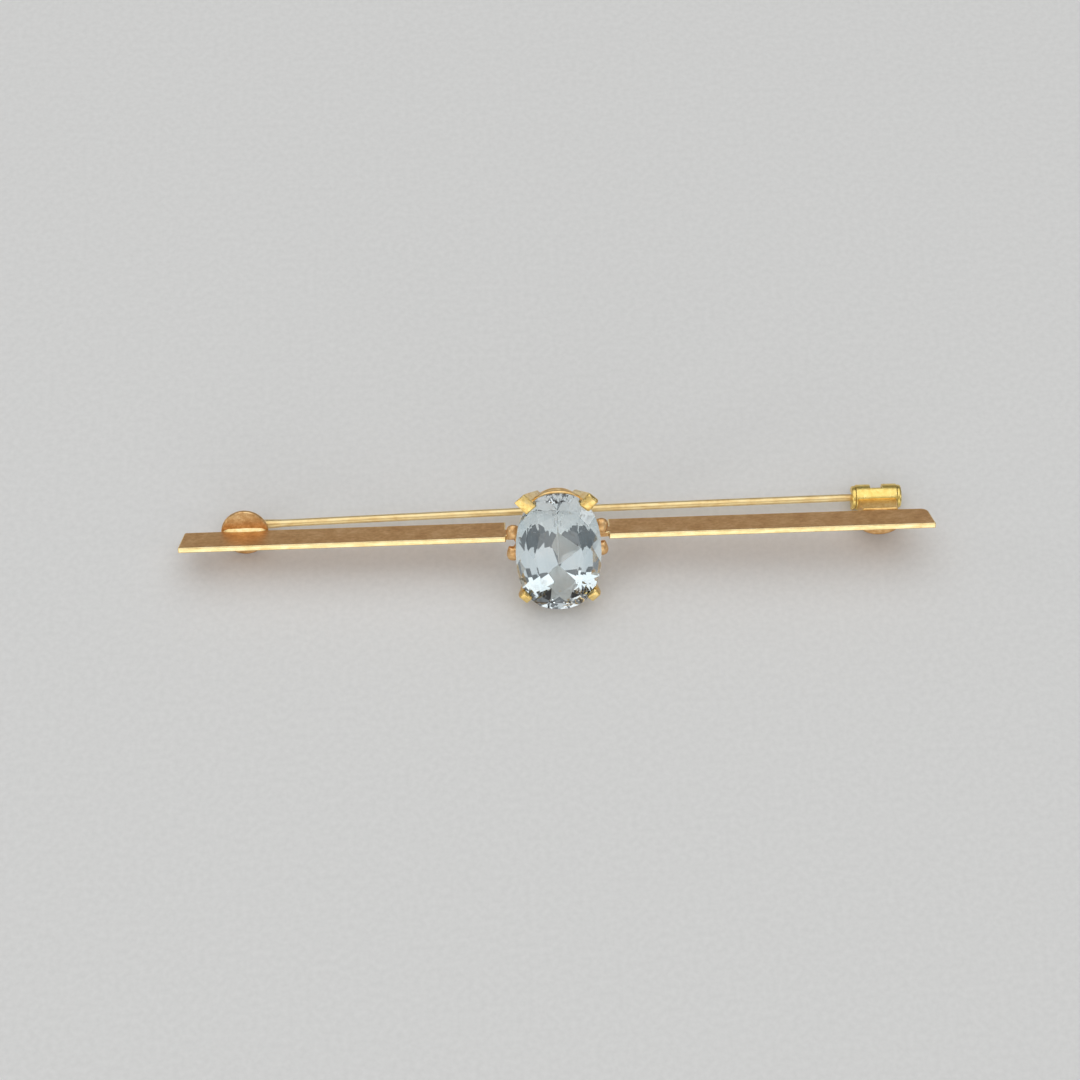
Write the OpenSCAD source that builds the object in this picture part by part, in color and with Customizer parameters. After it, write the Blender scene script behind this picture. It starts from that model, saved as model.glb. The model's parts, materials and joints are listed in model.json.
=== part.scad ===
// Bar brooch: a thin gold bar set on edge, a claw-set oval stone at its middle,
// and on the back a hinged pin and a roller catch.
// It is drawn face up: x runs along the bar, y up the face and z out of the face,
// from the middle of the bar's front edge. The last step lays it down as it rests.

/* [Bar] */
// Length of the bar along its front edge
bar_l = 54; // [46:0.5:66]
// Thickness of the bar, seen from the front
bar_t = 0.42; // [0.35:0.01:0.55]
// Depth of the bar from its front edge to its back edge
bar_d = 2.4; // [2:0.05:3]
// How much shorter the back edge is at each end
end_slant = 0.3; // [0:0.05:0.6]
// Rounding of the back corner at the hinge end
hinge_corner_r = 0.15; // [0.05:0.05:0.6]
// Rounding of the back corner at the catch end
catch_corner_r = 0.6; // [0.1:0.05:0.9]

/* [Stone] */
// Width of the oval stone, along the bar
stone_w = 6.05; // [5.5:0.05:7]
// Length of the oval stone, across the bar
stone_l = 9.1; // [8.2:0.1:10.5]
// Fullness of the oval: 2 is an ellipse, more is squarer
fullness = 2.35; // [2:0.05:2.6]
// Height of the middle of the girdle in front of the bar
stone_z = 2.1; // [1.9:0.05:2.8]
// Height of the crown above the girdle
crown_h = 0.95; // [0.7:0.05:1.2]
// Depth of the pavilion below the girdle
pavilion_h = 2.5; // [2:0.05:2.55]
// Thickness of the girdle
girdle_h = 0.2; // [0.14:0.01:0.3]
// Size of the table as a share of the stone's outline
table_share = 0.58; // [0.5:0.01:0.64]
// Height of the points of the star facets, as a share of the crown's height
star_share = 0.7; // [0.6:0.01:0.76]
// Depth of the points of the lower facets, as a share of the pavilion's depth
lower_share = 0.78; // [0.7:0.01:0.85]

/* [Setting] */
// Width of each gallery rail, seen from the front
rail_w = 0.42; // [0.35:0.01:0.5]
// Height of the upper gallery rail
upper_rail_h = 0.36; // [0.3:0.01:0.5]
// Distance from the middle of the girdle down to the upper rail
upper_rail_drop = 0.68; // [0.6:0.01:0.8]
// How far the upper rail lies inside the stone's outline
upper_rail_in = 0.08; // [0:0.01:0.12]
// Height of the lower gallery rail
lower_rail_h = 0.45; // [0.4:0.01:0.6]
// Distance from the bar's front edge back to the underside of the lower rail
lower_rail_back = 0.6; // [0.5:0.01:0.8]
// How much smaller the lower rail is than the stone, on each side
basket_taper = 0.66; // [0.5:0.01:0.8]
// Place of the upper claws round the oval, as an angle from the bar
upper_claw_at = 54; // [50:1:57]
// Place of the lower claws round the oval, as an angle from the bar
lower_claw_at = 42; // [40:1:47]
// Direction in which the claws lean out, as an angle from the bar
claw_turn = 47; // [40:1:54]
// Width of a claw
claw_w = 0.88; // [0.7:0.01:1]
// Thickness of a claw at its foot
claw_t = 0.5; // [0.4:0.01:0.6]
// How far the upper claw heads stand out past the stone
upper_claw_out = 0.9; // [0.7:0.01:0.95]
// How far the lower claw heads stand out past the stone
lower_claw_out = 0.5; // [0.4:0.01:0.6]
// How far the claws stand out past the lower rail
claw_foot = 0.1; // [0.05:0.01:0.2]
// How far a claw reaches in over the stone
claw_lap = 0.22; // [0.18:0.01:0.4]
// How far outside the stone the crest of a claw head lies
claw_crest = 0.12; // [0.05:0.01:0.2]
// Height of the crest of a claw head above the middle of the girdle
claw_head_h = 0.62; // [0.55:0.01:0.75]
// How far a claw head falls from its crest to its outer edge
claw_fall = 0.18; // [0.1:0.01:0.25]
// Bevel on the outside of a claw head
claw_bevel = 0.1; // [0.06:0.01:0.2]
// Clearance between the stone and the claws
seat_gap = 0.03; // [0.02:0.005:0.05]

/* [Shoulders] */
// Diameter of the bent shoulder wire
shoulder_wire = 0.5; // [0.45:0.01:0.6]
// Bending radius of the shoulder wire
shoulder_r = 0.96; // [0.9:0.01:1.1]
// How far the wire bends to each side, as an angle
shoulder_sweep = 70; // [60:1:80]
// Diameter of the two beads at the wire's ends
shoulder_bead = 0.84; // [0.7:0.01:0.9]
// Distance from the bar's front edge back to the middle of the wire
shoulder_back = 0.15; // [0.1:0.01:0.2]
// Gap between the lower rail and the back of the wire
shoulder_gap = 0.1; // [0.05:0.01:0.2]
// How far the bar's tongue, which carries the wire, lies behind the front edge
tongue_back = 0.34; // [0.26:0.01:0.38]
// Depth of that tongue
tongue_d = 0.95; // [0.7:0.05:1.2]

/* [Hinge] */
// Distance from the end of the bar to the rivet
hinge_inset = 4.6; // [4:0.05:7]
// Height of the rivet behind the bar's back edge
hinge_h = 1.3; // [1.25:0.05:1.8]
// Radius of the round base plate
hinge_base_r = 1.7; // [1.5:0.05:2]
// Thickness of both base plates
base_t = 0.35; // [0.25:0.01:0.42]
// Size of the solder fillet between the bar and the base plates
solder = 0.36; // [0.2:0.01:0.45]
// Thickness of each ear
ear_t = 0.3; // [0.25:0.01:0.4]
// Radius of the round end of the ears
ear_r = 0.75; // [0.65:0.01:0.85]
// Radius of the rivet
rivet_r = 0.18; // [0.15:0.01:0.22]
// Radius of the rivet's two heads
rivet_head_r = 0.34; // [0.28:0.01:0.42]
// Height of a rivet head
rivet_head_h = 0.1; // [0.06:0.01:0.15]
// Clearance of the rivet in the ears
rivet_gap = 0.01; // [0.005:0.001:0.02]
// Running clearance of what turns
turn_gap = 0.03; // [0.02:0.005:0.05]

/* [Pin] */
// Radius of the pin wire
pin_r = 0.27; // [0.24:0.01:0.3]
// Radius of the pin's eye round the rivet
eye_r = 0.6; // [0.5:0.01:0.62]
// Radius of the thicker root of the pin
root_r = 0.34; // [0.31:0.01:0.38]
// Length of the root, from the rivet
root_l = 2.8; // [2.2:0.1:3]
// Length of the tapered point
point_l = 3.4; // [2.6:0.1:4]
// Radius of the blunt end of the point
tip_r = 0.07; // [0.05:0.01:0.1]
// How far the pin reaches past the middle of the catch
pin_past = 1.1; // [0.6:0.05:1.4]

/* [Catch] */
// Distance from the end of the bar to the middle of the catch
catch_inset = 3.65; // [3.4:0.05:7]
// Height of the barrel's axis behind the bar's back edge
catch_h = 2.5; // [2:0.05:2.8]
// Radius of the barrel
barrel_r = 0.92; // [0.88:0.01:1.05]
// Length of the barrel
barrel_l = 3; // [2.6:0.05:3.6]
// Wall of the barrel
barrel_wall = 0.23; // [0.18:0.01:0.25]
// Bevel at the barrel's ends
barrel_bevel = 0.12; // [0.05:0.01:0.16]
// Length of the window in the top of the barrel
window_l = 0.9; // [0.6:0.05:1.2]
// How far the window reaches in front of the barrel's axis
window_h = 0.3; // [0.1:0.01:0.4]
// Width of the lip between the window and the slot for the pin
lip_w = 0.11; // [0.08:0.01:0.16]
// Length of each end flange of the roller
flange_t = 0.27; // [0.2:0.01:0.35]
// How much smaller the flanges are than the barrel
flange_in = 0.08; // [0.05:0.01:0.15]
// Room round the pin inside the roller
pin_room = 0.09; // [0.06:0.01:0.1]
// Room on each side of the pin in the roller's slot
slot_room = 0.04; // [0.03:0.005:0.06]
// Radius of the small knob that turns the roller
knob_r = 0.16; // [0.12:0.01:0.18]
// Length of the neck that carries the barrel, at the barrel
neck_l = 2.8; // [2.4:0.05:2.85]
// Length of the neck where it meets the base plate
neck_foot_l = 2.3; // [1.6:0.05:2.4]
// Width of the neck
neck_w = 1.2; // [0.8:0.05:1.3]
// Length of the oval base plate
catch_base_l = 3.2; // [2.8:0.1:3.6]
// Width of the oval base plate
catch_base_w = 2.1; // [2:0.1:2.4]
// How far that plate sits below the middle of the bar
catch_base_low = 0.8; // [0.6:0.05:0.9]

/* [Hidden] */
$fn = 48;

gold = [0.83, 0.64, 0.36];
pale_gold = [0.93, 0.78, 0.48];
catch_gold = [0.9, 0.73, 0.3];
stone_blue = [0.8, 0.89, 0.92];

// how deep soldered pieces run into each other, and how far cuts run past a face
bite = 0.05;
past = 1;
// how much wider the pin's eye is than its wire, how much narrower the ears are
// than their round ends, how far past the ears the pin's root starts, and the
// least thickness of a claw's tip
eye_extra = 0.03;
ear_step = 0.03;
root_past = 0.1;
tip_t = 0.1;

stone_a = stone_w / 2;
stone_b = stone_l / 2;
upper_rail_top = stone_z - upper_rail_drop;

// middle of a shoulder's bend, where the full depth of the bar begins
shoulder_x = stone_a - basket_taper + shoulder_gap + shoulder_wire / 2 + shoulder_r;

hinge_x = hinge_inset - bar_l / 2;
hinge_z = -bar_d - hinge_h;
eye_w = 2 * pin_r + eye_extra;
ear_in = eye_w / 2 + turn_gap;
ear_end = ear_in + ear_t;

catch_x = bar_l / 2 - catch_inset;
catch_z = -bar_d - catch_h;
barrel_bore_r = barrel_r - barrel_wall;
roller_r = barrel_bore_r - turn_gap;
flange_r = barrel_r - flange_in;
slot_w = 2 * (pin_r + slot_room);
flange_start = barrel_l / 2 + turn_gap;
flange_end = flange_start + flange_t;

// the closed pin points from the rivet to the middle of the catch
pin_dip = atan2(hinge_z - catch_z, catch_x - hinge_x);
pin_l = norm([catch_x - hinge_x, hinge_z - catch_z]) + pin_past;

// corners of a claw's side view: outwards from the girdle, and up from it
claw_foot_z = -lower_rail_back - stone_z;
claw_foot_q = claw_foot - basket_taper;

// a point on the outline of an oval, at an angle round it
function oval_point(turn, a, b) = [
    a * sign(cos(turn)) * pow(abs(cos(turn)), 2 / fullness),
    b * sign(sin(turn)) * pow(abs(sin(turn)), 2 / fullness)
];

// What can touch the surface it lies on: how far down the face, how far back, and
// the radius of its round end. First the setting, then the hinge, then the catch.
front_feet = [
    [stone_b - basket_taper, lower_rail_back, 0],
    [stone_b - upper_rail_in, upper_rail_h - upper_rail_top, 0]
];
hinge_feet = [
    [ear_end, ear_r - hinge_z, 0],
    [hinge_base_r, bar_d + base_t, 0]
];
catch_feet = [
    [0, -catch_z, barrel_r],
    [catch_base_low + catch_base_w / 2, bar_d + base_t, 0]
];

// Where the setting stands between the hinge and the near end of the barrel
catch_foot_x = catch_x - barrel_l / 2 + barrel_bevel;
catch_part = hinge_x / (hinge_x - catch_foot_x);

function between(hinge, catch) = (1 - catch_part) * hinge + catch_part * catch;
function lean_on(front, back) = let(d = front - back)
    atan2(d[1], d[0]) + acos(-d[2] / norm([d[0], d[1]]));
function drop(foot) = foot[0] * cos(lean) + foot[1] * sin(lean) + foot[2];

// It rests on the setting's lower end, the hinge and the catch: lean is the angle
// of the face's normal above the surface, roll lifts the catch's end a little.
lean = min([for (h = hinge_feet, c = catch_feet)
    max([for (f = front_feet) lean_on(f, between(h, c))])]);
roll = atan2(max([for (c = catch_feet) drop(c)]) - max([for (h = hinge_feet) drop(h)]),
    catch_foot_x - hinge_x);
rest_z = max([for (f = front_feet) drop(f)]) * cos(roll);

// How far the leaned brooch reaches to the front, at a lower claw, and to the back
claw_side_y = claw_w / 2 * cos(claw_turn);
claw_foot_y = oval_point(lower_claw_at, stone_a, stone_b)[1] + claw_side_y;
claw_edge_y = claw_foot_y + lower_claw_out * sin(claw_turn);
claw_top_y = claw_edge_y - claw_bevel * sin(claw_turn);
claw_crest_y = claw_foot_y + claw_crest * sin(claw_turn);
front_reach = max(
    claw_edge_y * sin(lean) + stone_z * cos(lean),
    claw_top_y * sin(lean) + (stone_z + claw_head_h - claw_fall) * cos(lean),
    claw_crest_y * sin(lean) + (stone_z + claw_head_h) * cos(lean),
    stone_b * sin(lean) + (stone_z + girdle_h / 2) * cos(lean));
back_reach = barrel_r - catch_z * cos(lean);

module at_rest() {
    translate([0, (front_reach - back_reach) / 2, rest_z])
        rotate([90 - lean, -roll, 0])
            children();
}

// One half of the bar: a strip on edge with a slanted, rounded outer end, and at
// its inner end a narrower tongue that runs under the shoulder to the lower rail
module bar_half(corner_r) {
    tip = bar_l / 2;
    end_angle = atan2(bar_d, end_slant);
    corner_cut = corner_r / tan((180 - end_angle) / 2);
    corner = [tip - end_slant - corner_cut, corner_r - bar_d];
    tongue_in = stone_a - basket_taper - rail_w / 2;
    steps = 8;
    outline = concat(
        [[tongue_in, -tongue_back], [shoulder_x, -tongue_back], [shoulder_x, 0], [tip, 0]],
        [for (i = [0:steps])
            let(turn = end_angle * (1 - i / steps) - 90)
            corner + corner_r * [cos(turn), sin(turn)]],
        [[shoulder_x, -bar_d], [shoulder_x, -tongue_back - tongue_d],
            [tongue_in, -tongue_back - tongue_d]]);
    rotate([90, 0, 0])
        linear_extrude(bar_t, center = true)
            polygon(outline);
}

// A short wire bent round the bar's inner end, with a bead on each of its ends
module shoulder() {
    translate([shoulder_x, 0, -shoulder_back]) {
        rotate([0, 0, 180 - shoulder_sweep])
            rotate_extrude(angle = 2 * shoulder_sweep)
                translate([shoulder_r, 0])
                    circle(d = shoulder_wire);
        for (side = [-1, 1])
            rotate([0, 0, 180 + side * shoulder_sweep])
                translate([shoulder_r, 0, 0])
                    sphere(d = shoulder_bead);
    }
}

module oval(a, b) {
    polygon([for (i = [0:63]) oval_point(i * 360 / 64, a, b)]);
}

// An oval rail of the open gallery, as much smaller than the stone as inset says
module gallery_rail(inset, low, height) {
    translate([0, 0, low])
        linear_extrude(height)
            difference() {
                oval(stone_a - inset, stone_b - inset);
                oval(stone_a - inset - rail_w, stone_b - inset - rail_w);
            }
}

// A claw from the lower rail up past the girdle, with its head bent over the crown.
// Under the head it slopes more steeply than the crown does.
module claw(at, out) {
    seat = girdle_h / 2 + seat_gap;
    head_slope = crown_h;
    lap_z = seat + head_slope * (claw_lap + 2 * seat_gap);
    side = [
        [claw_foot_q, claw_foot_z],
        [out, 0],
        [out - claw_bevel, claw_head_h - claw_fall],
        [claw_crest, claw_head_h],
        [-claw_lap, lap_z + tip_t],
        [-claw_lap, lap_z],
        [2 * seat_gap, seat],
        [-claw_lap, seat],
        [-claw_lap, -seat],
        [-seat_gap, -seat - seat_gap],
        [claw_foot_q - claw_t, claw_foot_z]
    ];
    foot = oval_point(at, stone_a, stone_b);
    translate([foot[0], foot[1], stone_z])
        rotate([0, 0, claw_turn])
            rotate([90, 0, 0])
                linear_extrude(claw_w, center = true)
                    polygon(side);
}

module setting() {
    gallery_rail(upper_rail_in, upper_rail_top - upper_rail_h, upper_rail_h);
    gallery_rail(basket_taper, -lower_rail_back, lower_rail_h);
    difference() {
        for (side = [0, 1])
            mirror([side, 0, 0]) {
                claw(upper_claw_at, upper_claw_out);
                mirror([0, 1, 0])
                    claw(lower_claw_at, lower_claw_out);
            }
        translate([0, 0, stone_z - girdle_h / 2 - seat_gap])
            linear_extrude(girdle_h + 2 * seat_gap)
                oval(stone_a + seat_gap, stone_b + seat_gap);
    }
}

// A round or oval base plate soldered to the bar's back edge, with a fillet on each side
module base_plate(l, w, low) {
    translate([0, -low, -bar_d - base_t])
        scale([l / w, 1, 1])
            cylinder(r = w / 2, h = base_t);
    intersection() {
        for (side = [0, 1])
            mirror([0, side, 0])
                rotate([90, 0, 90])
                    linear_extrude(l - solder, center = true)
                        polygon([
                            [bar_t / 2 - bite, -bar_d - bite],
                            [bar_t / 2 + solder, -bar_d - bite],
                            [bar_t / 2 + solder, -bar_d],
                            [bar_t / 2 - bite, -bar_d + solder + bite]
                        ]);
        translate([0, -low, -bar_d - base_t])
            scale([l / w, 1, 1])
                cylinder(r = w / 2 - bite, h = base_t + solder + past);
    }
}

// The base plate at the hinge end, with two drilled ears that hold the rivet
module hinge_bracket() {
    neck_r = ear_r - ear_step;
    translate([hinge_x, 0, 0]) {
        base_plate(2 * hinge_base_r, 2 * hinge_base_r, 0);
        difference() {
            for (side = [-1, 1])
                translate([0, side * (ear_in + ear_t / 2), 0]) {
                    translate([0, 0, hinge_z])
                        rotate([90, 0, 0])
                            cylinder(r = ear_r, h = ear_t, center = true);
                    translate([-neck_r, -ear_t / 2, hinge_z])
                        cube([2 * neck_r, ear_t, hinge_h - base_t + bite]);
                }
            translate([0, 0, hinge_z])
                rotate([90, 0, 0])
                    cylinder(r = rivet_r + rivet_gap, h = 2 * (ear_end + past), center = true);
        }
    }
}

// The catch's fixed half: a base plate, a neck, and a barrel slotted towards the back
module catch_bracket() {
    translate([catch_x, 0, 0]) {
        base_plate(catch_base_l, catch_base_w, catch_base_low);
        difference() {
            union() {
                translate([0, 0, catch_z])
                    rotate([0, 90, 0])
                        rotate_extrude()
                            polygon([
                                [barrel_bore_r, -barrel_l / 2],
                                [barrel_r - barrel_bevel, -barrel_l / 2],
                                [barrel_r, -barrel_l / 2 + barrel_bevel],
                                [barrel_r, barrel_l / 2 - barrel_bevel],
                                [barrel_r - barrel_bevel, barrel_l / 2],
                                [barrel_bore_r, barrel_l / 2]
                            ]);
                translate([0, -bite, 0])
                    rotate([90, 0, 0])
                        linear_extrude(neck_w, center = true)
                            polygon([
                                [-neck_l / 2, catch_z],
                                [neck_l / 2, catch_z],
                                [neck_foot_l / 2, bite - bar_d - base_t],
                                [-neck_foot_l / 2, bite - bar_d - base_t]
                            ]);
            }
            translate([0, 0, catch_z])
                rotate([0, 90, 0])
                    cylinder(r = barrel_bore_r, h = barrel_l + past, center = true);
            translate([-barrel_l / 2 - past, -slot_w / 2, catch_z - barrel_r - past])
                cube([barrel_l + 2 * past, slot_w, barrel_r + past]);
            translate([-window_l / 2, slot_w / 2 + lip_w, catch_z - barrel_r - past])
                cube([window_l, barrel_r, barrel_r + past + window_h]);
        }
    }
}

module brooch_frame() {
    color(gold) {
        bar_half(catch_corner_r);
        mirror([1, 0, 0])
            bar_half(hinge_corner_r);
        for (side = [0, 1])
            mirror([side, 0, 0])
                shoulder();
        hinge_bracket();
    }
    color(pale_gold) setting();
    color(catch_gold) catch_bracket();
}

// An oval brilliant: its eight main facets above and below the girdle are the sides
// of two pyramids on one eight-cornered base that touches the oval all round.
module stone() {
    apex_h = crown_h / (1 - table_share);
    star_h = crown_h * star_share;
    lower_h = pavilion_h * lower_share;
    base_share = pow(2, 1 - 1 / fullness) - 1;
    top = girdle_h / 2;
    function base_corner(k) = let(turn = 45 * k + 22.5)
        abs(cos(turn)) > abs(sin(turn))
            ? [stone_a * sign(cos(turn)), stone_b * base_share * sign(sin(turn))]
            : [stone_a * base_share * sign(cos(turn)), stone_b * sign(sin(turn))];
    function level(p, share, z) = [p[0] * share, p[1] * share, z];
    corners = concat(
        [for (k = [0:7]) level(oval_point(45 * k, stone_a, stone_b), table_share, top + crown_h)],
        [for (k = [0:7]) level(base_corner(k), 1 - star_h / apex_h, top + star_h)],
        [for (j = [0:15]) level(oval_point(22.5 * j, stone_a, stone_b), 1, top)],
        [for (j = [0:15]) level(oval_point(22.5 * j, stone_a, stone_b), 1, -top)],
        [for (k = [0:7]) level(base_corner(k), 1 - lower_share, -top - lower_h)],
        [[0, 0, -top - pavilion_h]]);
    table = 0;
    star = 8;
    girdle = 16;
    under = 32;
    lower = 48;
    culet = 56;
    facets = concat(
        [[for (k = [7:-1:0]) table + k]],
        [for (k = [0:7]) [table + k, table + (k + 1) % 8, star + k]],
        [for (k = [0:7]) [table + k, star + k, girdle + 2 * k, star + (k + 7) % 8]],
        [for (k = [0:7]) [star + k, girdle + 2 * k + 1, girdle + 2 * k]],
        [for (k = [0:7]) [star + k, girdle + (2 * k + 2) % 16, girdle + 2 * k + 1]],
        [for (j = [0:15]) [girdle + j, girdle + (j + 1) % 16, under + (j + 1) % 16, under + j]],
        [for (k = [0:7]) [lower + k, under + 2 * k, under + 2 * k + 1]],
        [for (k = [0:7]) [lower + k, under + 2 * k + 1, under + (2 * k + 2) % 16]],
        [for (k = [0:7]) [culet, lower + (k + 7) % 8, under + 2 * k, lower + k]]);
    color(stone_blue)
        translate([0, 0, stone_z])
            polyhedron(corners, facets);
}

module hinge_rivet() {
    shank = 2 * (ear_end + rivet_gap);
    color(pale_gold)
        translate([hinge_x, 0, hinge_z])
            rotate([90, 0, 0]) {
                cylinder(r = rivet_r, h = shank + rivet_head_h, center = true);
                for (side = [0, 1])
                    mirror([0, 0, side])
                        translate([0, 0, shank / 2])
                            cylinder(r = rivet_head_r, h = rivet_head_h);
            }
}

// The pin lies along x here, with the rivet's place at its start
module pin_stem() {
    root_from = ear_r + root_past;
    color(pale_gold)
        translate([hinge_x, 0, hinge_z])
            rotate([0, pin_dip, 0])
                difference() {
                    union() {
                        rotate([90, 0, 0])
                            cylinder(r = eye_r, h = eye_w, center = true);
                        rotate([0, 90, 0]) {
                            cylinder(r = pin_r, h = pin_l - point_l);
                            translate([0, 0, root_from])
                                cylinder(r1 = root_r, r2 = pin_r, h = root_l - root_from);
                            translate([0, 0, pin_l - point_l])
                                cylinder(r1 = pin_r, r2 = tip_r, h = point_l);
                        }
                    }
                    rotate([90, 0, 0])
                        cylinder(r = rivet_r + turn_gap, h = eye_w + past, center = true);
                }
}

// The roller turns in the barrel. It is open towards the back here, so that the pin
// can swing out; turned a quarter by its knob it holds the pin in.
module catch_roller() {
    color(catch_gold)
        translate([catch_x, 0, catch_z]) {
            difference() {
                rotate([0, 90, 0]) {
                    cylinder(r = roller_r, h = 2 * flange_end, center = true);
                    for (side = [0, 1])
                        mirror([0, 0, side])
                            translate([0, 0, flange_start])
                                cylinder(r = flange_r, h = flange_t);
                }
                rotate([0, 90, 0])
                    cylinder(r = pin_r + pin_room, h = 2 * (flange_end + past), center = true);
                translate([-flange_end - past, -slot_w / 2, -flange_r - past])
                    cube([2 * (flange_end + past), slot_w, flange_r + past]);
            }
            translate([-flange_start - flange_t / 2, -flange_r, 0])
                sphere(r = knob_r);
        }
}

at_rest() brooch_frame();
at_rest() stone();
at_rest() hinge_rivet();
at_rest() pin_stem();
at_rest() catch_roller();
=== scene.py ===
import json
import math

import bmesh
import bpy
from mathutils import Matrix, Vector


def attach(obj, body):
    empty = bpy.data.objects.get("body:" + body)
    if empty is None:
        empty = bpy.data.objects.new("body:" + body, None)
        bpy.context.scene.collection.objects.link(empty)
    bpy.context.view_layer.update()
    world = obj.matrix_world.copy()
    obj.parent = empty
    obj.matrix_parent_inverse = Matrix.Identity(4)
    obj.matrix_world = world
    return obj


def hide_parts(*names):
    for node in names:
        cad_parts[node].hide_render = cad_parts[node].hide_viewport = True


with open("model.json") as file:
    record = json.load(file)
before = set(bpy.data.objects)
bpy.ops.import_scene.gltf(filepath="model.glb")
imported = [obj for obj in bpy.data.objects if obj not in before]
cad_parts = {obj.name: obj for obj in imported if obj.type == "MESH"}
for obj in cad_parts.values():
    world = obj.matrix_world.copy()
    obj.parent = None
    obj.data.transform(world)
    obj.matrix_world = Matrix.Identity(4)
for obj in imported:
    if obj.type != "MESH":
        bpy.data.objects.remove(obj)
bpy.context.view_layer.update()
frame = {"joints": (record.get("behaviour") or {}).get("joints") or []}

# The brooch lies tipped back on its setting, hinge and catch. Each piece is drawn face up,
# in millimetres: x along the bar, y up the face and z out of it, from the middle of the
# bar's front edge. It is then laid down by the axes of the hinge and the catch.
MM = 0.001
RIVET = Vector((-22.4, 0.0, -3.7))

turns = {joint["name"]: joint for joint in frame["joints"]}
along = Vector(turns["roller_turn"]["axis"]).normalized()
up_face = Vector(turns["pin_hinge"]["axis"]).normalized()
out_of_face = along.cross(up_face).normalized()
laid_down = Matrix((along, up_face, out_of_face)).transposed().to_4x4()
laid_down.translation = Vector(turns["pin_hinge"]["pos_m"]) - laid_down.to_3x3() @ RIVET * MM
catch_at = laid_down.inverted() @ Vector(turns["roller_turn"]["pos_m"]) / MM


# The bar: two halves of a thin gold strip, set on edge, one on each side of the stone. Its
# long sides are left satin from the rollers, and its narrow edges are polished. The satin sides
# are also coloured a darker, browner gold than the edges, and that darker colour is painted shade.
# A tongue at each inner end carries the shoulder and is soldered to the gallery.
HALF_BAR = 27.0
BAR_BACK = 2.4
BAR_THICK = 0.42
BAR_EASE = 0.08
END_SLANT = 0.3
SHOULDER_X = 3.675
TONGUE_IN = 2.15
TONGUE_TOP = -0.34
TONGUE_LOW = -1.25


def node(tree, kind, **values):
    made = tree.nodes.new(kind)
    for name, value in values.items():
        made.inputs[name].default_value = value
    return made


def ramp(tree, source, stops):
    made = tree.nodes.new("ShaderNodeValToRGB")
    bands = made.color_ramp.elements
    while len(bands) < len(stops):
        bands.new(0.5)
    for band, (at, colour) in zip(bands, stops):
        band.position = at
        band.color = (*colour, 1.0)
    tree.links.new(source, made.inputs["Fac"])
    return made.outputs["Color"]


def spread(tree, source, low, high):
    made = tree.nodes.new("ShaderNodeMapRange")
    made.inputs["From Min"].default_value = 0.3
    made.inputs["From Max"].default_value = 0.7
    made.inputs["To Min"].default_value = low
    made.inputs["To Max"].default_value = high
    tree.links.new(source, made.inputs["Value"])
    return made.outputs["Result"]


def gold(name, dark, middle, light, rough, grains_per_mm, drawn=(1, 1, 1), depth=0.004):
    """A gold alloy: cloudy in tone, with a fine grain that is drawn out along the work."""
    material = bpy.data.materials.new(name)
    material.use_nodes = True
    tree = material.node_tree
    shader = tree.nodes["Principled BSDF"]
    shader.inputs["Metallic"].default_value = 1.0
    place = tree.nodes.new("ShaderNodeTexCoord").outputs["Object"]
    stretch = node(tree, "ShaderNodeMapping", Scale=drawn)
    tree.links.new(place, stretch.inputs["Vector"])
    clouds = node(tree, "ShaderNodeTexNoise", Scale=0.9 / MM, Detail=4.0, Roughness=0.6)
    tree.links.new(place, clouds.inputs["Vector"])
    grain = node(tree, "ShaderNodeTexNoise", Scale=grains_per_mm / MM, Detail=3.0, Roughness=0.65)
    tree.links.new(stretch.outputs["Vector"], grain.inputs["Vector"])
    mixed = tree.nodes.new("ShaderNodeMix")
    mixed.inputs["Factor"].default_value = 0.55
    tree.links.new(clouds.outputs["Fac"], mixed.inputs["A"])
    tree.links.new(grain.outputs["Fac"], mixed.inputs["B"])
    tone = mixed.outputs["Result"]
    tree.links.new(ramp(tree, tone, ((0.36, dark), (0.5, middle), (0.64, light))),
                   shader.inputs["Base Color"])
    tree.links.new(spread(tree, tone, rough[1], rough[0]), shader.inputs["Roughness"])
    bump = node(tree, "ShaderNodeBump", Strength=1.0, Distance=depth * MM)
    tree.links.new(grain.outputs["Fac"], bump.inputs["Height"])
    tree.links.new(bump.outputs["Normal"], shader.inputs["Normal"])
    return material


def fitted(name, shape, *finishes, body="brooch", slot="gold", stands_for=(), flat=False):
    """Turns a shape drawn in millimetres into a piece that lies where the brooch lies."""
    bmesh.ops.recalc_face_normals(shape, faces=shape.faces)
    shape.transform(Matrix.Scale(MM, 4))
    mesh = bpy.data.meshes.new(name)
    shape.to_mesh(mesh)
    shape.free()
    for finish in finishes:
        mesh.materials.append(finish)
    for face in mesh.polygons:
        face.use_smooth = not flat
    piece = bpy.data.objects.new(name, mesh)
    bpy.context.scene.collection.objects.link(piece)
    piece.matrix_world = laid_down
    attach(piece, body)
    if stands_for:
        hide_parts(*stands_for)
    return piece


def eased(piece, width, steps=3):
    """Files a small round on every sharp edge."""
    bevel = piece.modifiers.new("eased_edges", "BEVEL")
    bevel.width = width * MM
    bevel.segments = steps
    bevel.limit_method = "ANGLE"
    bevel.angle_limit = math.radians(35)
    bevel.harden_normals = True
    return piece


def slab(outline, thick, to_place):
    """A flat plate with this outline; to_place turns (u, v, across) into a point."""
    shape = bmesh.new()
    sides = [[shape.verts.new(to_place(u, v, side * thick / 2)) for u, v in outline]
             for side in (-1, 1)]
    shape.faces.new(sides[0])
    shape.faces.new(reversed(sides[1]))
    for k in range(len(outline)):
        nxt = (k + 1) % len(outline)
        shape.faces.new((sides[0][k], sides[0][nxt], sides[1][nxt], sides[1][k]))
    return shape


# The satin gold is darker and browner than the polished gold: painted shade on the bar's sides.
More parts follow.
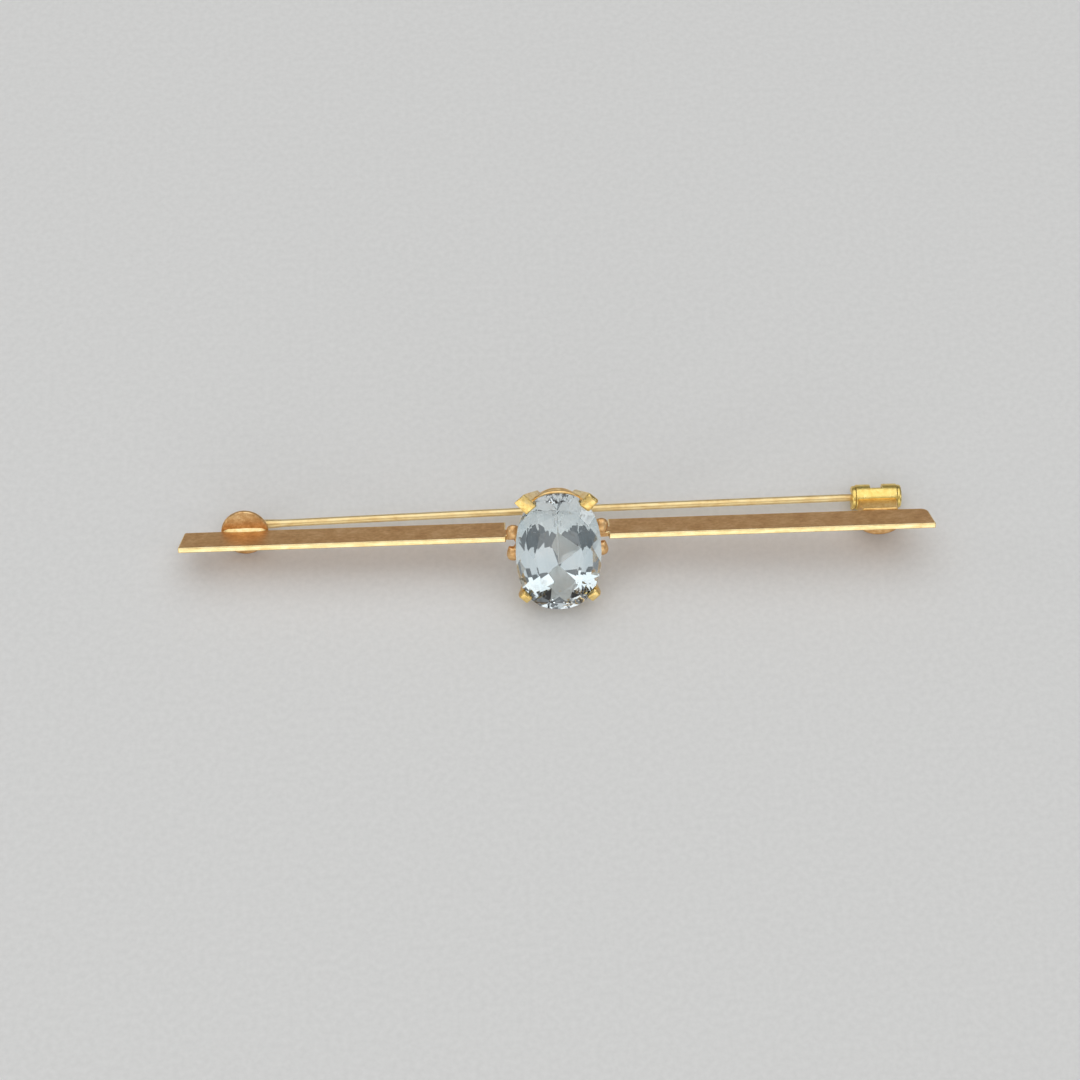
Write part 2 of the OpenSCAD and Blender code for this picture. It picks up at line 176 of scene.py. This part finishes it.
satin_and_shade = gold("satin_side_painted_shade", (0.62, 0.34, 0.14), (0.73, 0.43, 0.185), (0.84, 0.54, 0.27),
             (0.44, 0.58), 7, drawn=(0.5, 1, 1), depth=0.012)
bright_edge = gold("polished_edge", (0.80, 0.58, 0.26), (0.93, 0.73, 0.38), (1.0, 0.83, 0.5),
                   (0.16, 0.28), 5, drawn=(0.15, 1, 1), depth=0.002)

for side, name, corner_r in ((-1, "bar_left", 0.15), (1, "bar_right", 0.6)):
    end_angle = math.atan2(BAR_BACK, END_SLANT)
    cut = corner_r / math.tan((math.pi - end_angle) / 2)
    corner = Vector((HALF_BAR - END_SLANT - cut, corner_r - BAR_BACK))
    outline = [(TONGUE_IN, TONGUE_TOP), (SHOULDER_X, TONGUE_TOP), (SHOULDER_X, 0), (HALF_BAR, 0)]
    for step in range(9):  # the bar's back corner, filed round
        turn = end_angle * (1 - step / 8) - math.pi / 2
        outline.append(tuple(corner + corner_r * Vector((math.cos(turn), math.sin(turn)))))
    outline += [(SHOULDER_X, -BAR_BACK), (SHOULDER_X, TONGUE_LOW), (TONGUE_IN, TONGUE_LOW)]
    half = slab(outline, BAR_THICK, lambda u, v, w: Vector((side * u, w, v)))
    bmesh.ops.recalc_face_normals(half, faces=half.faces)
    # Faces across the strip, and the tongue, take the satin gold that is painted darker as shade; the
    # rest take the polished gold.
    for face in half.faces:
        on_tongue = abs(face.calc_center_median().x) < SHOULDER_X - 0.1
        face.material_index = 0 if abs(face.normal.y) > 0.7 or on_tongue else 1
    stands_for = ("brooch_frame",) if side < 0 else ()
    bar = eased(fitted(name, half, satin_and_shade, bright_edge, stands_for=stands_for), BAR_EASE)
    bar.modifiers["eased_edges"].material = 1


# The shoulders: on each side a short wire bent round the end of the bar, its two ends
# drawn up into beads that hug the stone. They are cast, polished and soldered on.
SHOULDER_BEND = 0.96
WIRE_R = 0.25
BEAD_R = 0.45
BEAD_HALF = 0.56
BEAD_WIDER = 0.35
BEAD_FLATTER = 0.2
COLLAR = 0.1
SHOULDER_BACK = 0.15


def loft(rings, closed_path=False):
    """A skin over closed rings of points, one after another."""
    shape = bmesh.new()
    loops = [[shape.verts.new(point) for point in ring] for ring in rings]
    count = len(loops[0])
    pairs = list(zip(loops, loops[1:]))
    if closed_path:
        pairs.append((loops[-1], loops[0]))
    for one, two in pairs:
        for k in range(count):
            nxt = (k + 1) % count
            shape.faces.new((one[k], one[nxt], two[nxt], two[k]))
    if not closed_path:
        shape.faces.new(loops[0])
        shape.faces.new(reversed(loops[-1]))
    return shape


def ring_round(centre, out, side, r, count=20):
    return [centre + r * (math.cos(t) * out + math.sin(t) * side)
            for t in (2 * math.pi * k / count for k in range(count))]


cast_gold = gold("cast_shoulder", (0.70, 0.38, 0.15), (0.86, 0.53, 0.24), (0.95, 0.68, 0.36),
                 (0.3, 0.45), 4, depth=0.01)

for side, name, sweep, lift, in_by in ((-1, "shoulder_left", 55, -0.32, 0.0),
                                       (1, "shoulder_right", 62, -0.06, 0.15)):
    rings = []
    reach = math.radians(sweep) + BEAD_HALF / SHOULDER_BEND
    for step in range(61):
        turn = reach * (step / 30 - 1)
        from_end = (reach - abs(turn)) * SHOULDER_BEND / BEAD_HALF
        bead = BEAD_R * math.sqrt(max(1 - (from_end - 1) ** 2, 0.002))
        neck = WIRE_R + COLLAR * max(0, 1 - abs(from_end - 2))
        r = bead if from_end < 1 else max(bead, neck)
        in_bead = min(1, max(0, 2 - from_end))
        outward = Vector((-side * math.cos(turn), math.sin(turn), 0))
        centre = SHOULDER_BEND * outward
        centre += Vector((side * (SHOULDER_X - in_by), lift, -SHOULDER_BACK))
        rings.append(ring_round(centre, outward * r * (1 + BEAD_WIDER * in_bead),
                                Vector((0, 0, r * (1 - BEAD_FLATTER * in_bead))), 1))
    fitted(name, loft(rings), cast_gold)


# The gallery: two oval rails of flattened wire, the upper one under the stone's girdle and
# the smaller one at the foot of the claws. They are soldered into an open basket.
STONE_A = 3.025
STONE_B = 4.55
FULLNESS = 2.35
GIRDLE_Z = 2.1
RAIL_W = 0.32
UPPER_RAIL_IN, UPPER_RAIL_LOW, UPPER_RAIL_HIGH = 0.13, 1.06, 1.42
LOWER_RAIL_IN, LOWER_RAIL_LOW, LOWER_RAIL_HIGH = 0.78, -0.6, -0.15


def oval_point(turn, inset=0.0):
    c, s = math.cos(turn), math.sin(turn)
    return Vector((
        (STONE_A - inset) * math.copysign(abs(c) ** (2 / FULLNESS), c),
        (STONE_B - inset) * math.copysign(abs(s) ** (2 / FULLNESS), s), 0))


def rail(inset, low, high):
    """An oval rail whose flattened wire has rounded corners."""
    round_r = 0.14
    steps = 120
    middle = inset + RAIL_W / 2
    rings = []
    for k in range(steps):
        turn = 2 * math.pi * (k + 0.5) / steps
        ahead = oval_point(turn + 0.01, middle) - oval_point(turn - 0.01, middle)
        outward = Vector((ahead.y, -ahead.x, 0)).normalized()
        centre = oval_point(turn, middle) + Vector((0, 0, (low + high) / 2))
        ring = []
        for corner, (u, v) in enumerate(((1, 1), (-1, 1), (-1, -1), (1, -1))):
            hub = Vector((u * (RAIL_W / 2 - round_r), v * ((high - low) / 2 - round_r)))
            for part in range(4):
                bend = math.pi / 2 * (corner + part / 3)
                point = hub + round_r * Vector((math.cos(bend), math.sin(bend)))
                ring.append(centre + point.x * outward + Vector((0, 0, point.y)))
        rings.append(ring)
    return loft(rings, closed_path=True)


rail_gold = gold("gallery_rail", (0.74, 0.42, 0.14), (0.92, 0.60, 0.25), (1.0, 0.76, 0.4),
                 (0.28, 0.4), 4, depth=0.003)
fitted("upper_rail", rail(UPPER_RAIL_IN, UPPER_RAIL_LOW, UPPER_RAIL_HIGH), rail_gold)
fitted("lower_rail", rail(LOWER_RAIL_IN, LOWER_RAIL_LOW, LOWER_RAIL_HIGH), rail_gold)


# The claws: four tapered prongs that rise from the lower rail past the upper one, notched
# for the girdle, with heads bent in over the stone and filed flat. The upper left head is
# crisp, the upper right one is worn round.
CLAW_TURN = math.radians(47)
CLAW_TAPER = 0.3
CLAW_LAP = 0.22
CLAW_CREST = -0.1
HEAD_H = 0.62
HEAD_FALL = 0.08
TIP_TOP = 0.5
TIP_LOW = 0.396
SEAT = 0.13
FOOT_OUT = -0.56
FOOT_IN = -1.06


def arc_corner(before, corner, after, r):
    """The corner of an outline, rounded with radius r."""
    steps = 4
    one = (before - corner).normalized()
    two = (after - corner).normalized()
    half_angle = one.angle(two) / 2
    reach = r / math.tan(half_angle)
    hub = corner + (one + two).normalized() * (r / math.sin(half_angle))
    start = corner + one * reach - hub
    end = corner + two * reach - hub
    return [hub + (start.lerp(end, k / steps)).normalized() * r for k in range(steps + 1)]


def claw(across, up, at, waist, out, wide, head_round):
    """One claw, drawn from its side view; its outer edges are rounded by head_round."""
    foot_z = LOWER_RAIL_LOW - GIRDLE_Z
    outer = [Vector(p) for p in ((FOOT_OUT, foot_z), (waist, 0), (out, HEAD_H - HEAD_FALL),
                                 (CLAW_CREST, HEAD_H), (-CLAW_LAP, TIP_TOP), (-CLAW_LAP, TIP_LOW))]
    worn = [outer[0]]
    worn += arc_corner(outer[0], outer[1], outer[2], head_round * 1.5)
    worn += arc_corner(outer[1], outer[2], outer[3], head_round)
    worn += arc_corner(outer[2], outer[3], outer[4], head_round * 0.8)
    worn += outer[4:]
    inner = [Vector(p) for p in ((0.06, SEAT), (-CLAW_LAP, SEAT), (-CLAW_LAP, -SEAT),
                                 (-0.03, -SEAT - 0.03), (FOOT_IN, foot_z))]
    inward = []
    for k, point in enumerate(worn):
        before = worn[max(k - 1, 0)]
        after = worn[min(k + 1, len(worn) - 1)]
        way = (after - before).normalized()
        inward.append(Vector((-way.y, way.x)))
    foot = oval_point(math.radians(at))
    rings = []
    half = wide / 2
    for step in range(13):
        bend = math.pi * step / 12 - math.pi / 2
        y = (half - head_round) * (1 if bend > 0 else -1) * (0 if step == 6 else 1)
        y += head_round * math.sin(bend)
        inset = head_round * (1 - math.cos(bend))
        side = [p + n * inset for p, n in zip(worn, inward)] + inner
        ring = []
        for point in side:
            q, z = point
            tapered_y = y * (1 - CLAW_TAPER * max(0, z / foot_z))
            local = Vector((q * math.cos(CLAW_TURN) - tapered_y * math.sin(CLAW_TURN),
                            q * math.sin(CLAW_TURN) + tapered_y * math.cos(CLAW_TURN), z))
            local += foot + Vector((0, 0, GIRDLE_Z))
            ring.append(Vector((local.x * across, local.y * up, local.z)))
        rings.append(ring)
    return loft(rings)


claw_gold = gold("claw_gold", (0.80, 0.50, 0.15), (0.94, 0.67, 0.24), (1.0, 0.78, 0.36),
                 (0.2, 0.32), 3, depth=0.004)
for name, across, up, at, waist, out, wide, head_round in (
        ("claw_upper_left", -1, 1, 53, 0.82, 1.08, 0.95, 0.05),
        ("claw_upper_right", 1, 1, 53.5, 0.78, 0.98, 0.95, 0.2),
        ("claw_lower_left", -1, -1, 42, 0.48, 0.38, 0.8, 0.12),
        ("claw_lower_right", 1, -1, 42, 0.5, 0.4, 0.85, 0.14)):
    prong = fitted(name, claw(across, up, at, waist, out, wide, head_round), claw_gold)
    prong.data.set_sharp_from_angle(angle=math.radians(38))


# The stone: a pale blue oval brilliant, cut and polished, with faint clouds in it. Its back
# runs down in five rows of facets to a short ridge along its length. They are a little
# uneven, as they were cut by eye.
TABLE_H = 1.05
STAR_H = 0.68
HALF_GIRDLE = 0.1
UNEVEN = 0.06
UNEVEN_BY_POINT = 5.3
UNEVEN_BY_HEIGHT = 11.0
STONE_INDEX = 1.62
cut_rows = (  # half width, half length, height over the girdle, points, half a step on
    (1.755, 2.64, TABLE_H, 8, 0), (2.42, 3.65, STAR_H, 16, 1),
    (STONE_A, STONE_B, HALF_GIRDLE, 32, 0), (STONE_A, STONE_B, -HALF_GIRDLE, 32, 0),
    (2.05, 3.78, -1.05, 16, 1), (1.5, 3.3, -1.55, 16, 0), (0.95, 2.7, -2.0, 12, 1),
    (0.45, 2.2, -2.35, 8, 0), (0.05, 1.7, -2.62, 6, 1))

stone_shape = bmesh.new()
for half_wide, half_long, height, points, half_on in cut_rows:
    for k in range(points):
        around = oval_point(2 * math.pi * (k + half_on / 2) / points)
        if height < -HALF_GIRDLE:
            around *= 1 + UNEVEN * math.sin(UNEVEN_BY_POINT * k + UNEVEN_BY_HEIGHT * height)
        stone_shape.verts.new(Vector((around.x * half_wide / STONE_A,
                                      around.y * half_long / STONE_B, GIRDLE_Z + height)))
bmesh.ops.convex_hull(stone_shape, input=stone_shape.verts)

glass = bpy.data.materials.new("pale_blue_stone")
glass.use_nodes = True
tree = glass.node_tree
shader = tree.nodes["Principled BSDF"]
shader.inputs["Transmission Weight"].default_value = 1.0
shader.inputs["IOR"].default_value = STONE_INDEX
place = tree.nodes.new("ShaderNodeTexCoord").outputs["Object"]
veils = node(tree, "ShaderNodeTexNoise", Scale=0.35 / MM, Detail=3.0, Distortion=0.6)
tree.links.new(place, veils.inputs["Vector"])
tree.links.new(ramp(tree, veils.outputs["Fac"], ((0.35, (0.72, 0.85, 0.90)),
                                                 (0.5, (0.82, 0.92, 0.95)),
                                                 (0.68, (0.92, 0.97, 0.985)))),
               shader.inputs["Base Color"])
polish = node(tree, "ShaderNodeTexNoise", Scale=2.5 / MM, Detail=2.0)
tree.links.new(place, polish.inputs["Vector"])
tree.links.new(spread(tree, polish.outputs["Fac"], 0.0, 0.02), shader.inputs["Roughness"])
fitted("cut_stone", stone_shape, glass, slot="stone", stands_for=("stone",), flat=True)


# The hinge: a round base plate with two drilled ears, punched from sheet and soldered to
# the bar's back edge. The solder stands in a bright line on each side of the bar. The plate and
# ears are coloured a darker, browner gold than the rest, and that darker colour is painted shade.
BASE_R = 1.7
BASE_T = 0.35
BEHIND = -BAR_BACK - BASE_T
HINGE_SOLDER = 0.19
SOLDER_SHORT = 0.15


def base_plate(x, low, r, stretch=1.0):
    """A round or oval plate with an eased edge."""
    rings = []
    profile = [(0.02, 0), (r - 0.09, 0), (r - 0.03, 0.03), (r, 0.1), (r, BASE_T - 0.1),
               (r - 0.04, BASE_T - 0.03), (r - 0.12, BASE_T), (0.02, BASE_T)]
    for radius, height in profile:
        centre = Vector((x, -low, BEHIND + height))
        rings.append(ring_round(centre, Vector((stretch, 0, 0)), Vector((0, 1, 0)), radius, 64))
    return loft(rings)


def solder_line(x, half_length, side, size):
    """A fillet of solder along the foot of the bar, lumpy as it set."""
    rings = []
    edge = BAR_THICK / 2
    steps = 28
    for step in range(steps + 1):
        share = step / steps * 2 - 1
        lump = 1 + 0.06 * math.sin(7 * share + side) + 0.03 * math.sin(17 * share + 2)
        s = size * max(1 - share ** 6, 0.05) * lump
        at = x + half_length * share
        section = [(edge - 0.05, -BAR_BACK - 0.05), (edge + s, -BAR_BACK - 0.05),
                   (edge + s, -BAR_BACK + 0.03), (edge + 0.52 * s, -BAR_BACK + 0.22 * s),
                   (edge + 0.22 * s, -BAR_BACK + 0.52 * s), (edge + 0.03, -BAR_BACK + s),
                   (edge - 0.05, -BAR_BACK + s)]
        rings.append([Vector((at, side * y, z)) for y, z in section])
    return loft(rings)


# This darker, browner gold is painted shade for the plates and ears behind the bar.
plate_gold_painted_shade = gold("hinge_plate", (0.56, 0.29, 0.10), (0.74, 0.43, 0.18), (0.92, 0.64, 0.32),
                  (0.28, 0.44), 4, depth=0.01)
solder_gold = gold("solder", (0.8, 0.55, 0.22), (0.95, 0.74, 0.36), (1.0, 0.86, 0.52),
                   (0.26, 0.38), 3, depth=0.005)

fitted("hinge_plate", base_plate(RIVET.x, 0, BASE_R), plate_gold_painted_shade)
for side, name in ((1, "hinge_solder_upper"), (-1, "hinge_solder_lower")):
    fitted(name, solder_line(RIVET.x, BASE_R - SOLDER_SHORT, side, HINGE_SOLDER), solder_gold)

EAR_IN = 0.315
EAR_T = 0.3
EAR_R = 0.75
EAR_BORE = 0.19
EAR_SUNK = 0.05
EAR_EASE = 0.04


def ear(side):
    """A drilled ear: a plate with a round end, standing on the base plate."""
    shape = bmesh.new()
    foot = BEHIND + EAR_SUNK - RIVET.z
    steps = 40
    loops = []
    for face_y in (EAR_IN, EAR_IN + EAR_T):
        outer, inner = [], []
        for k in range(steps):
            turn = 2 * math.pi * k / steps
            c, s = math.cos(turn), math.sin(turn)
            reach = EAR_R if s < 0 else min(EAR_R / max(abs(c), 0.001), foot / max(s, 0.001))
            if s >= 0:
                reach = min(reach, math.hypot(EAR_R, foot))
            outer.append(shape.verts.new(RIVET + Vector((reach * c, side * face_y, reach * s))))
            inner.append(shape.verts.new(RIVET + Vector((EAR_BORE * c, side * face_y, EAR_BORE * s))))
        loops.append((outer, inner))
    for k in range(steps):
        nxt = (k + 1) % steps
        for outer, inner in loops:
            shape.faces.new((outer[k], outer[nxt], inner[nxt], inner[k]))
        for which in (0, 1):
            one, two = loops[0][which], loops[1][which]
            shape.faces.new((one[k], one[nxt], two[nxt], two[k]))
    return shape


for side, name in ((1, "hinge_ear_upper"), (-1, "hinge_ear_lower")):
    eased(fitted(name, ear(side), plate_gold_painted_shade), EAR_EASE)


# The rivet: a short piece of gold wire through the ears and the pin's eye, spread with a
# hammer into a low dome at each end.
RIVET_R = 0.18
HEAD_FOOT = EAR_IN + EAR_T + 0.01


def turned(profile, centre, axis, out, count=40):
    """A round solid from (radius, place along the axis) pairs."""
    side = axis.cross(out)
    return loft([ring_round(centre + at * axis, out, side, r, count) for r, at in profile])


rivet_head = [(RIVET_R, HEAD_FOOT), (0.33, HEAD_FOOT), (0.34, HEAD_FOOT + 0.03),
              (0.28, HEAD_FOOT + 0.075), (0.16, HEAD_FOOT + 0.098), (0.02, HEAD_FOOT + 0.1)]
rivet_profile = [(r, -at) for r, at in reversed(rivet_head)] + rivet_head
fitted("rivet", turned(rivet_profile, RIVET, Vector((0, 1, 0)), Vector((1, 0, 0))),
       claw_gold, stands_for=("hinge_rivet",))


# The pin: drawn gold wire, hard and polished, with a flattened drilled eye at the rivet, a
# thicker root and a long tapered point. It bows very slightly up the face.
PIN_R = 0.27
PIN_TIP_R = 0.07
PIN_PAST = 1.1
EYE_R = 0.6
EYE_W = 0.57
ROOT_R = 0.34
ROOT_L = 2.8
POINT_L = 3.4
POINT_CURVE = 0.85
BOW = 0.1
UP = Vector((0, 1, 0))

to_catch = catch_at - RIVET
pin_way = to_catch.normalized()
pin_l = to_catch.length + PIN_PAST
stations = [(0.35, 0.27), (0.75, 0.29), (1.0, ROOT_R), (1.3, ROOT_R), (2.0, 0.31), (ROOT_L, PIN_R)]
stations += [(ROOT_L + (pin_l - POINT_L - ROOT_L) * k / 24, PIN_R) for k in range(1, 25)]
for k in range(1, 9):
    left = 1 - k / 8
    stations.append((pin_l - POINT_L * left, PIN_TIP_R + (PIN_R - PIN_TIP_R) * left ** POINT_CURVE))
stations.append((pin_l, 0.02))
rings = []
for at, r in stations:
    bow = BOW * math.sin(math.pi * min(at / to_catch.length, 1))
    rings.append(ring_round(RIVET + at * pin_way + bow * UP, pin_way.cross(UP), UP, r, 28))
pin_gold = gold("drawn_pin", (0.80, 0.55, 0.24), (0.94, 0.73, 0.37), (1.0, 0.83, 0.48),
                (0.36, 0.46), 5, drawn=(0.12, 1, 1), depth=0.002)
eye_profile = [(0.21, -0.25), (0.25, -EYE_W / 2), (EYE_R - 0.05, -EYE_W / 2), (EYE_R, -0.22),
               (EYE_R, 0.22), (EYE_R - 0.05, EYE_W / 2), (0.25, EYE_W / 2), (0.21, 0.25)]
fitted("pin", loft(rings), pin_gold, body="pin", slot="pin_gold", stands_for=("pin_stem",))
eye_rings = [ring_round(RIVET + at * UP, Vector((1, 0, 0)), Vector((0, 0, 1)), r, 40)
             for r, at in eye_profile]
eye = fitted("pin_eye", loft(eye_rings, closed_path=True), pin_gold, body="pin", slot="pin_gold")
eye.data.set_sharp_from_angle(angle=math.radians(35))


# The catch's fixed half: an oval base plate, a neck and a barrel of yellower gold, soldered
# together. The barrel is slotted towards the back, and a window in its top edge is filed
# down into the slot.
BARREL_R = 0.92
BARREL_BORE = 0.69
BARREL_HALF = 1.5
SLOT_HALF = 0.31
WINDOW_HALF = 0.45
WINDOW_FRONT = 0.3
WINDOW_LOW = 0.2
CUT_PAST = 0.5
CATCH_BASE_LOW = 0.8
CATCH_BASE_R = 1.05
CATCH_BASE_STRETCH = 1.52
CATCH_SOLDER = 0.32
CATCH_SOLDER_HALF = 1.2
NECK_LOW = -0.65
NECK_HIGH = 0.3


def split_tube(profile):
    """A tube round the catch's axis, slotted towards the back. The profile is a closed
    list of (radius, place along the axis)."""
    steps = 44
    rings = []
    for step in range(steps + 1):
        share = step / steps
        ring = []
        for r, at in profile:
            edge = math.asin(SLOT_HALF / r)
            turn = edge + (2 * math.pi - 2 * edge) * share
            ring.append(catch_at + Vector((at, r * math.sin(turn), -r * math.cos(turn))))
        rings.append(ring)
    return loft(rings)


def box_shape(low, high):
    shape = bmesh.new()
    bmesh.ops.create_cube(shape, size=1)
    size = high - low
    for vert in shape.verts:
        vert.co = Vector((vert.co.x * size.x, vert.co.y * size.y, vert.co.z * size.z)) + (low + high) / 2
    return shape


def cut_away(piece, shape, name):
    """Takes a shape drawn in millimetres out of a piece, and keeps the result."""
    shape.transform(Matrix.Scale(MM, 4))
    bmesh.ops.recalc_face_normals(shape, faces=shape.faces)
    mesh = bpy.data.meshes.new(name)
    shape.to_mesh(mesh)
    shape.free()
    tool = bpy.data.objects.new(name, mesh)
    bpy.context.scene.collection.objects.link(tool)
    tool.matrix_world = laid_down
    cut = piece.modifiers.new("cut", "BOOLEAN")
    cut.object = tool
    cut.operation = "DIFFERENCE"
    cut.solver = "EXACT"
    bpy.context.view_layer.update()
    whole = piece.evaluated_get(bpy.context.evaluated_depsgraph_get())
    cut_mesh = bpy.data.meshes.new_from_object(whole)
    piece.modifiers.remove(cut)
    piece.data = cut_mesh
    bpy.data.objects.remove(tool)


catch_gold = gold("catch_gold", (0.86, 0.58, 0.16), (0.97, 0.73, 0.23), (1.0, 0.82, 0.33),
                  (0.24, 0.36), 4, depth=0.003)
foot_gold = gold("catch_foot", (0.74, 0.42, 0.13), (0.88, 0.56, 0.2), (0.97, 0.68, 0.3),
                 (0.26, 0.42), 4, depth=0.01)
# The catch plate takes the same darker gold, which is painted shade.
fitted("catch_plate", base_plate(catch_at.x, CATCH_BASE_LOW, CATCH_BASE_R, CATCH_BASE_STRETCH),
       plate_gold_painted_shade)
fitted("catch_solder", solder_line(catch_at.x, CATCH_SOLDER_HALF, -1, CATCH_SOLDER), solder_gold)
barrel_profile = [(BARREL_BORE, -BARREL_HALF + 0.03), (BARREL_BORE + 0.03, -BARREL_HALF),
                  (BARREL_R - 0.06, -BARREL_HALF), (BARREL_R - 0.02, -BARREL_HALF + 0.02),
                  (BARREL_R, -BARREL_HALF + 0.08), (BARREL_R, BARREL_HALF - 0.08),
                  (BARREL_R - 0.02, BARREL_HALF - 0.02), (BARREL_R - 0.06, BARREL_HALF),
                  (BARREL_BORE + 0.03, BARREL_HALF), (BARREL_BORE, BARREL_HALF - 0.03)]
barrel = fitted("barrel", split_tube(barrel_profile), catch_gold, slot="catch_gold")
window = box_shape(catch_at + Vector((-WINDOW_HALF, WINDOW_LOW, -BARREL_R - CUT_PAST)),
                   catch_at + Vector((WINDOW_HALF, BARREL_R + CUT_PAST, WINDOW_FRONT)))
cut_away(barrel, window, "window_tool")
barrel.data.set_sharp_from_angle(angle=math.radians(35))
eased(barrel, 0.03, steps=2)

neck_rings = []
for depth, half_long in ((catch_at.z + 0.72, 1.42), (catch_at.z + 1.1, 1.4),
                         (-BAR_BACK - 0.4, 1.3), (-BAR_BACK - 0.04, 1.28)):
    neck_rings.append([Vector((catch_at.x + side * half_long, y, depth)) for side, y in (
        (-1, NECK_LOW), (1, NECK_LOW), (1, NECK_HIGH), (-1, NECK_HIGH))])
eased(fitted("catch_neck", loft(neck_rings), foot_gold, slot="catch_gold"), 0.12)


# The roller: a slotted tube that turns in the barrel, with a flange at each end to keep it
# in, and a small knob that the thumb pushes. Turned a quarter it shuts the pin in.
ROLLER_R = 0.66
FLANGE_R = 0.84
FLANGE_START = 1.53
FLANGE_END = 1.8
PIN_BORE = 0.36
KNOB_R = 0.16
roller_profile = [(PIN_BORE, -FLANGE_END + 0.03), (PIN_BORE + 0.03, -FLANGE_END),
                  (FLANGE_R - 0.14, -FLANGE_END), (FLANGE_R - 0.05, -FLANGE_END + 0.04),
                  (FLANGE_R, -FLANGE_END + 0.13), (FLANGE_R, -FLANGE_START),
                  (ROLLER_R, -FLANGE_START), (ROLLER_R, FLANGE_START),
                  (FLANGE_R, FLANGE_START), (FLANGE_R, FLANGE_END - 0.13),
                  (FLANGE_R - 0.05, FLANGE_END - 0.04), (FLANGE_R - 0.14, FLANGE_END),
                  (PIN_BORE + 0.03, FLANGE_END), (PIN_BORE, FLANGE_END - 0.03)]
roller = fitted("roller", split_tube(roller_profile), catch_gold, body="roller",
                slot="catch_gold", stands_for=("catch_roller",))
roller.data.set_sharp_from_angle(angle=math.radians(35))
knob_at = catch_at + Vector((-(FLANGE_START + FLANGE_END) / 2, -FLANGE_R, 0))
knob_profile = [(KNOB_R * math.sin(math.pi * k / 12) + 0.004, -KNOB_R * math.cos(math.pi * k / 12))
                for k in range(13)]
fitted("roller_knob", turned(knob_profile, knob_at, Vector((0, -1, 0)), Vector((1, 0, 0)), 24),
       claw_gold, body="roller", slot="catch_gold")


# The floor: a plain pale sheet with a faint tooth, under a soft studio light.
floor_mesh = bpy.data.meshes.new("floor")
FLOOR_HALF = 1.5
corners = [(-FLOOR_HALF, -FLOOR_HALF, 0), (FLOOR_HALF, -FLOOR_HALF, 0),
           (FLOOR_HALF, FLOOR_HALF, 0), (-FLOOR_HALF, FLOOR_HALF, 0)]
floor_mesh.from_pydata(corners, [], [(0, 1, 2, 3)])
floor = bpy.data.objects.new("floor", floor_mesh)
bpy.context.scene.collection.objects.link(floor)
paper = bpy.data.materials.new("pale_floor")
paper.use_nodes = True
tree = paper.node_tree
shader = tree.nodes["Principled BSDF"]
shader.inputs["Roughness"].default_value = 0.85
place = tree.nodes.new("ShaderNodeTexCoord").outputs["Object"]
tooth = node(tree, "ShaderNodeTexNoise", Scale=2.5 / MM, Detail=3.0)
tree.links.new(place, tooth.inputs["Vector"])
tree.links.new(ramp(tree, tooth.outputs["Fac"], ((0.3, (0.78, 0.775, 0.76)),
                                                 (0.7, (0.83, 0.825, 0.81)))),
               shader.inputs["Base Color"])
bump = node(tree, "ShaderNodeBump", Strength=0.3, Distance=0.02 * MM)
tree.links.new(tooth.outputs["Fac"], bump.inputs["Height"])
tree.links.new(bump.outputs["Normal"], shader.inputs["Normal"])
floor_mesh.materials.append(paper)


# The light: a wide soft box overhead, as a window would be, a low strip in front that the
# polished edges mirror, a dim box over it, a box on each side and dim air all round. The
# strip isn't seen through the stone, where it would wash the facets out.
def soft_box(name, at, width, height, radiance, colour=(1, 1, 1)):
    light = bpy.data.lights.new(name, "AREA")
    light.shape = "RECTANGLE"
    light.size = width
    light.size_y = height
    light.energy = radiance * math.pi * width * height
    light.color = colour
    lamp = bpy.data.objects.new(name, light)
    bpy.context.scene.collection.objects.link(lamp)
    lamp.location = at
    lamp.rotation_mode = "QUATERNION"
    lamp.rotation_quaternion = (-Vector(at)).to_track_quat("-Z", "Y")
    return lamp


soft_box("overhead", (0.0, 0.1, 0.62), 0.9, 1.1, 1.05)
front_strip = soft_box("front_strip", (0.0, -0.6, 0.12), 0.8, 0.22, 1.25, (1.0, 0.98, 0.94))
front_strip.visible_transmission = False
soft_box("front_high", (0.0, -0.52, 0.36), 0.8, 0.26, 0.5)
soft_box("left_box", (-0.5, -0.36, 0.34), 0.16, 0.34, 2.4)
soft_box("right_box", (0.56, -0.22, 0.3), 0.12, 0.3, 2.4)
soft_box("far_left_box", (-0.6, 0.12, 0.2), 0.2, 0.2, 1.8)
world = bpy.data.worlds.new("studio_air")
bpy.context.scene.world = world
world.use_nodes = True
world.node_tree.nodes["Background"].inputs["Color"].default_value = (0.92, 0.96, 1.0, 1)
world.node_tree.nodes["Background"].inputs["Strength"].default_value = 0.18
bpy.context.scene.view_settings.view_transform = "Standard"


# The camera looks down on the face from above the bar, as the photograph does.
TILT = math.radians(27.36)
YAW = math.radians(-0.89)
ROLL = math.radians(-1.51)
DISTANCE = 190.0
FOCAL_PIXELS = 2671.2
FRAME_PIXELS = 1080
AIM_PIXELS = Vector((17.61, 1.79))

back = Vector((math.sin(YAW) * math.cos(TILT), math.sin(TILT), math.cos(YAW) * math.cos(TILT)))
level = Vector((math.cos(YAW), 0, -math.sin(YAW)))
rise = back.cross(level)
right = math.cos(ROLL) * level + math.sin(ROLL) * rise
top = -math.sin(ROLL) * level + math.cos(ROLL) * rise
aside = AIM_PIXELS * DISTANCE / FOCAL_PIXELS
eye_at = back * DISTANCE - right * aside.x - top * aside.y
lens = bpy.data.cameras.new("camera")
lens.sensor_width = 36
lens.lens = FOCAL_PIXELS / FRAME_PIXELS * lens.sensor_width
lens.clip_start = 0.01
lens.clip_end = 10
camera = bpy.data.objects.new("camera", lens)
bpy.context.scene.collection.objects.link(camera)
facing = Matrix((right, top, back)).transposed().to_4x4()
facing.translation = eye_at * MM
camera.matrix_world = laid_down @ facing
bpy.context.scene.camera = camera
